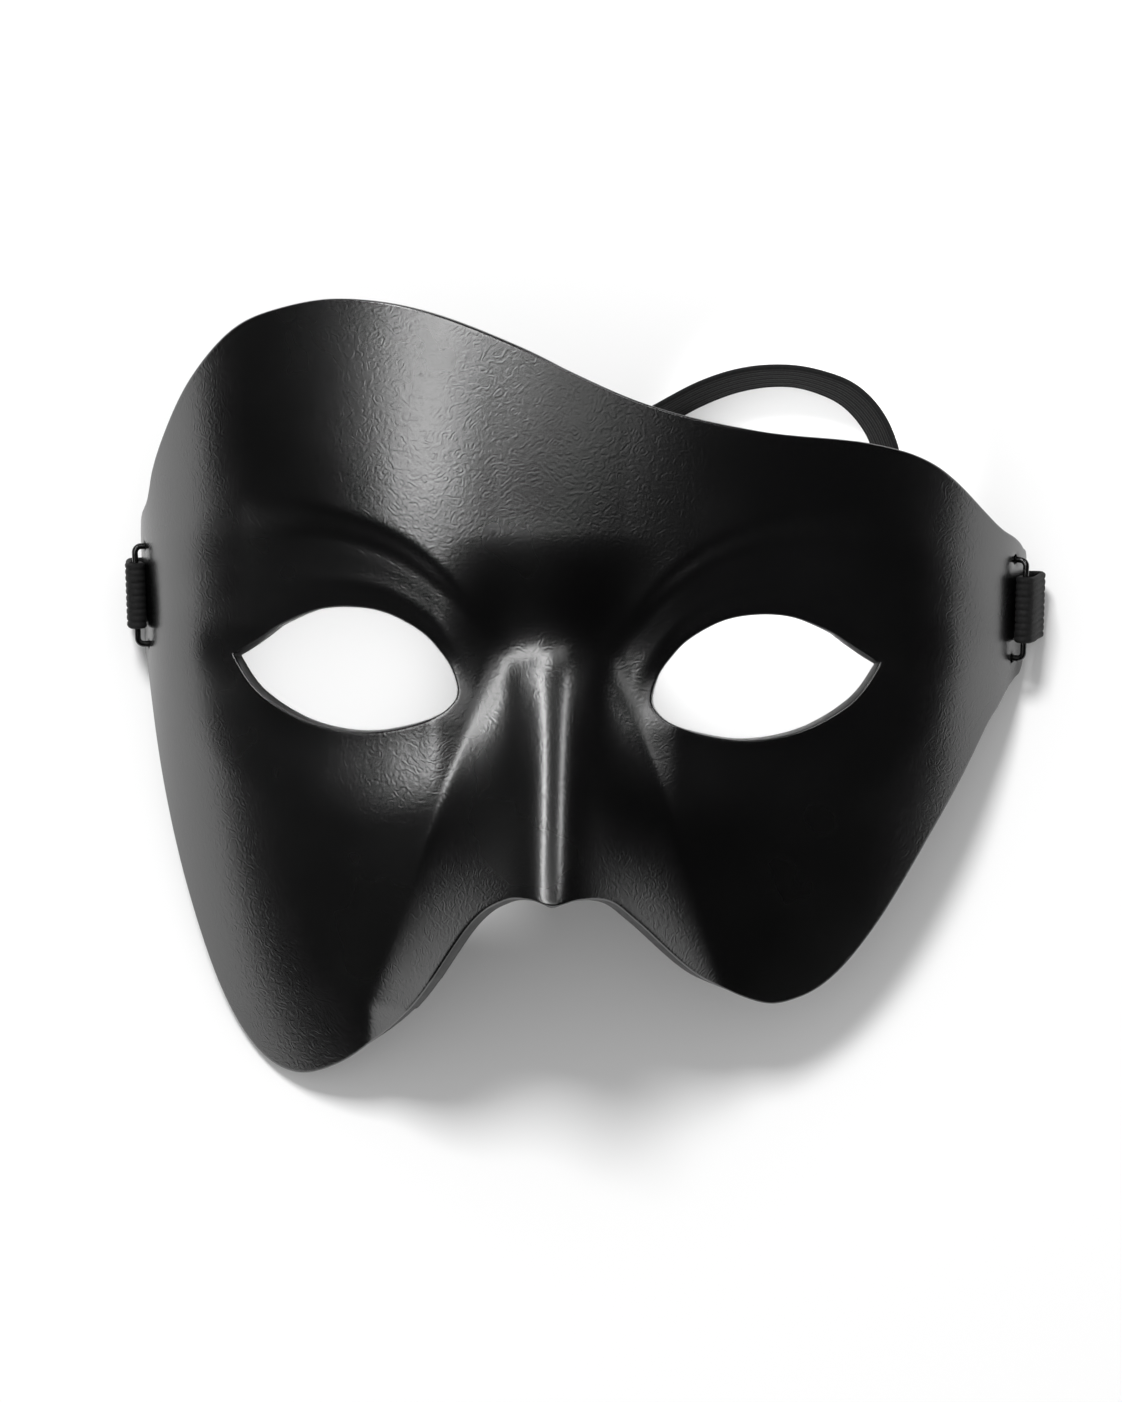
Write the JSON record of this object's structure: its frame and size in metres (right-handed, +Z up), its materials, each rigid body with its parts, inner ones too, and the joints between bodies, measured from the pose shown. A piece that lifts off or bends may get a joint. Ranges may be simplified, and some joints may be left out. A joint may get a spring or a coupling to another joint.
{
  "type": "masquerade mask",
  "caption": "Black moulded half mask with almond eye openings, a long nose ridge and uneven pointed cheek lobes, worn on a ribbed elastic held by wire loops.",
  "frame": {"origin": "middle of the footprint on the surface that the mask lies on", "axes": "+X to the right tab as seen, +Y toward the brow edge, +Z up out of the face of the lying mask"},
  "size_m": [0.1822, 0.1418, 0.0669],
  "materials": {
    "moulded_shell": "satin black with a fine embossed grain",
    "wire": "black lacquered wire",
    "elastic": "matte black ribbed elastic"
  },
  "bodies": {
    "root": {"mask_shell": "moulded_shell", "wire_loop_left": "wire", "wire_loop_right": "wire", "elastic_strap": "elastic"}
  },
  "joints": []
}
